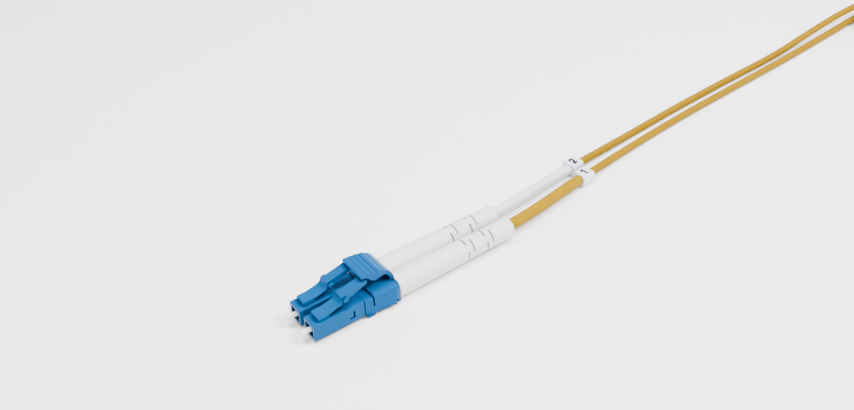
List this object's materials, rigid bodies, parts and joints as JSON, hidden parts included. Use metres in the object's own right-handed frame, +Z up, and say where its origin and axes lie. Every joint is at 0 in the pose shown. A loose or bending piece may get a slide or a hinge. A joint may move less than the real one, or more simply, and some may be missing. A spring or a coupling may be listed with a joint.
{
  "type": "duplex lc fibre connector",
  "caption": "Duplex fibre plug: square housings with latch arms and white ferrules, joined by a clip with a thumb trigger, tapered boots and yellow leg cords ending in a tied hank.",
  "frame": {"origin": "midway between the two ferrule axes, in the plane of the front faces of the two housings", "axes": "+Y back along the boots and cords, so the plug is pushed into its adapter towards -Y; +X towards the leg with tag 1; +Z up, towards the latch arms and trigger"},
  "size_m": [0.0268, 0.2749, 0.0111],
  "materials": {
    "blue_plastic": "satin",
    "zirconia": "polished",
    "nickel": "satin",
    "spring_steel": "satin",
    "white_boot": "satin",
    "yellow_sleeve": "satin",
    "white_sleeve": "satin",
    "yellow_jacket": "satin",
    "tag_plastic": "satin",
    "white_buffer": "satin",
    "tie_fabric": "matte"
  },
  "bodies": {
    "connector": {"front_housing_1": "blue_plastic", "spring_1": "spring_steel", "rear_body_1": "blue_plastic", "crimp_sleeve_1": "nickel", "fibre_1": "white_buffer", "inner_cord_1": "yellow_jacket", "boot_1": "white_boot", "colour_sleeve_1": "yellow_sleeve", "number_tag_1": "tag_plastic", "cord_leg_1": "yellow_jacket", "cord_hank_1": "yellow_jacket", "cord_tail_1": "yellow_jacket", "fibre_tail_1": "white_buffer", "front_housing_2": "blue_plastic", "spring_2": "spring_steel", "rear_body_2": "blue_plastic", "crimp_sleeve_2": "nickel", "fibre_2": "white_buffer", "inner_cord_2": "yellow_jacket", "boot_2": "white_boot", "colour_sleeve_2": "white_sleeve", "number_tag_2": "tag_plastic", "cord_leg_2": "yellow_jacket", "cord_hank_2": "yellow_jacket", "cord_tail_2": "yellow_jacket", "fibre_tail_2": "white_buffer", "duplex_clip": "blue_plastic", "hank_tie_near": "tie_fabric", "hank_tie_far": "tie_fabric"},
    "trigger": {"trigger": "blue_plastic"},
    "latch_1": {"latch_arm_1": "blue_plastic"},
    "ferrule_set_1": {"ferrule_1": "zirconia", "ferrule_flange_1": "nickel"},
    "latch_2": {"latch_arm_2": "blue_plastic"},
    "ferrule_set_2": {"ferrule_2": "zirconia", "ferrule_flange_2": "nickel"}
  },
  "joints": [
    {"name": "trigger_press", "type": "hinge", "parent": "connector", "child": "trigger", "pos_m": [0, 0.02205, 0.0032], "axis": [1, 0, 0], "range_deg": [0, 9], "stiffness_Nm_per_rad": 0.05},
    {"name": "latch_1_flex", "type": "hinge", "parent": "connector", "child": "latch_1", "pos_m": [0.00313, 0.0046, 0.0032], "axis": [1, 0, 0], "range_deg": [-8, 0], "stiffness_Nm_per_rad": 0.02},
    {"name": "latch_2_flex", "type": "hinge", "parent": "connector", "child": "latch_2", "pos_m": [-0.00313, 0.0046, 0.0032], "axis": [1, 0, 0], "range_deg": [-8, 0], "stiffness_Nm_per_rad": 0.02},
    {"name": "ferrule_1_float", "type": "slide", "parent": "connector", "child": "ferrule_set_1", "axis": [0, 1, 0], "range_m": [0, 0.001], "stiffness_N_per_m": 800, "springref_m": -0.001, "deforming": ["spring_1"]},
    {"name": "ferrule_2_float", "type": "slide", "parent": "connector", "child": "ferrule_set_2", "axis": [0, 1, 0], "range_m": [0, 0.001], "stiffness_N_per_m": 800, "springref_m": -0.001, "deforming": ["spring_2"]}
  ],
  "couplings": [
    {"joint": "latch_1_flex", "follows": "trigger_press", "ratio": -0.85},
    {"joint": "latch_2_flex", "follows": "trigger_press", "ratio": -0.85}
  ]
}
